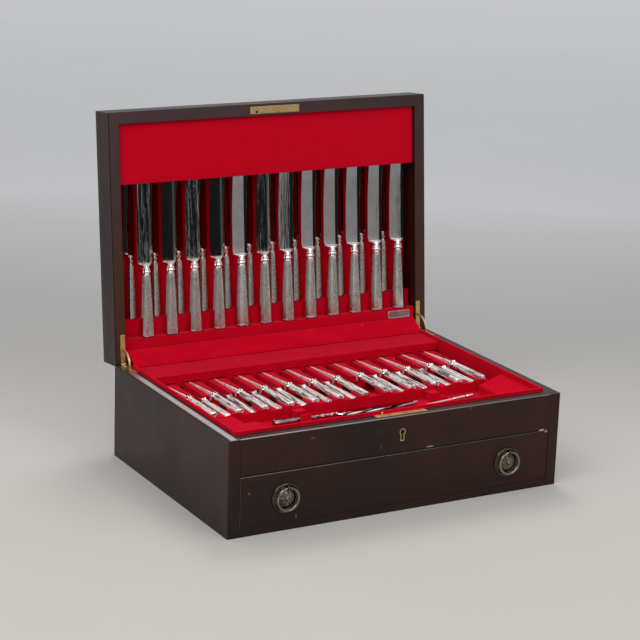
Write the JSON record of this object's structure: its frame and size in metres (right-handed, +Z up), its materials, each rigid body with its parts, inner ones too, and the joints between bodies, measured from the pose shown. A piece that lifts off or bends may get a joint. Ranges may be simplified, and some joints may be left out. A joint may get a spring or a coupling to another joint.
{
  "type": "silverware chest",
  "caption": "Wooden cutlery chest with a stay-hinged lid holding two rows of knives, a velvet fitted tray, a lock and a drawer with ring pulls.",
  "frame": {"origin": "centre of the underside of the base", "axes": "+X to the right seen from the front, +Y to the back, +Z up"},
  "size_m": [0.46, 0.3969, 0.4369],
  "materials": {
    "dark_wood": "satin varnish",
    "red_velvet": "velvet pile",
    "brass": "worn polish",
    "silver_plate": "polished silver plate",
    "polished_steel": "polished steel"
  },
  "bodies": {
    "case": {"side_left": "dark_wood", "side_right": "dark_wood", "back_panel": "dark_wood", "front_rail": "dark_wood", "bottom_board": "dark_wood", "dust_board": "dark_wood", "lining_front": "red_velvet", "lining_back": "red_velvet", "lining_left": "red_velvet", "lining_right": "red_velvet", "tray_floor": "red_velvet", "knife_comb": "red_velvet", "platform": "red_velvet", "handle_rack": "red_velvet", "filler_left": "red_velvet", "filler_right": "red_velvet", "bridge_blocks": "red_velvet", "tray_knife_blades": "polished_steel", "tray_knife_handles": "silver_plate", "tray_forks": "silver_plate", "serving_knife_blade": "polished_steel", "serving_knife_handle": "silver_plate", "skewer": "silver_plate", "lock_case": "brass", "lock_plate": "brass", "keyhole_liner": "brass", "base_hinge_leaves": "brass", "hinge_pins": "brass", "base_hinge_screws": "brass"},
    "bolt": {"lock_bolt": "brass"},
    "stays": {"hinge_stays": "brass"},
    "drawer": {"drawer_front": "dark_wood", "drawer_side_left": "dark_wood", "drawer_side_right": "dark_wood", "drawer_back": "dark_wood", "drawer_bottom": "dark_wood", "drawer_lining": "red_velvet", "pull_backplates": "brass", "pull_posts": "brass"},
    "ring_left": {"pull_ring_left": "brass"},
    "ring_right": {"pull_ring_right": "brass"},
    "lid": {"lid_panel": "dark_wood", "lid_side_left": "dark_wood", "lid_side_right": "dark_wood", "lid_front_rail": "dark_wood", "lid_back_rail": "dark_wood", "lid_lining": "red_velvet", "tip_pad": "red_velvet", "pad_batten": "red_velvet", "dessert_rack": "red_velvet", "table_rack": "red_velvet", "name_plate": "silver_plate", "table_knife_blades": "polished_steel", "table_knife_handles": "silver_plate", "dessert_knife_blades": "polished_steel", "dessert_knife_handles": "silver_plate", "staple_plate": "brass", "lid_hinge_leaves": "brass", "lid_screws": "brass", "hinge_cloth": "red_velvet"}
  },
  "joints": [
    {"name": "lid_hinge", "type": "hinge", "parent": "case", "child": "lid", "pos_m": [0, 0.1582, 0.1202], "axis": [1, 0, 0], "range_deg": [0, 95.5], "deforming": ["hinge_cloth"]},
    {"name": "stay_swing", "type": "hinge", "parent": "case", "child": "stays", "pos_m": [0, 0.1582, 0.1202], "axis": [1, 0, 0], "range_deg": [0, 47.75]},
    {"name": "drawer_slide", "type": "slide", "parent": "case", "child": "drawer", "axis": [0, -1, 0], "range_m": [0, 0.22]},
    {"name": "ring_left_swing", "type": "hinge", "parent": "drawer", "child": "ring_left", "pos_m": [-0.1545, -0.1664, 0.054], "axis": [-1, 0, 0], "range_deg": [0, 105]},
    {"name": "ring_right_swing", "type": "hinge", "parent": "drawer", "child": "ring_right", "pos_m": [0.1545, -0.1664, 0.054], "axis": [-1, 0, 0], "range_deg": [0, 105]},
    {"name": "bolt_slide", "type": "slide", "parent": "case", "child": "bolt", "axis": [-1, 0, 0], "range_m": [0, 0.0022]}
  ],
  "couplings": [
    {"joint": "stay_swing", "follows": "lid_hinge", "ratio": 0.5}
  ]
}
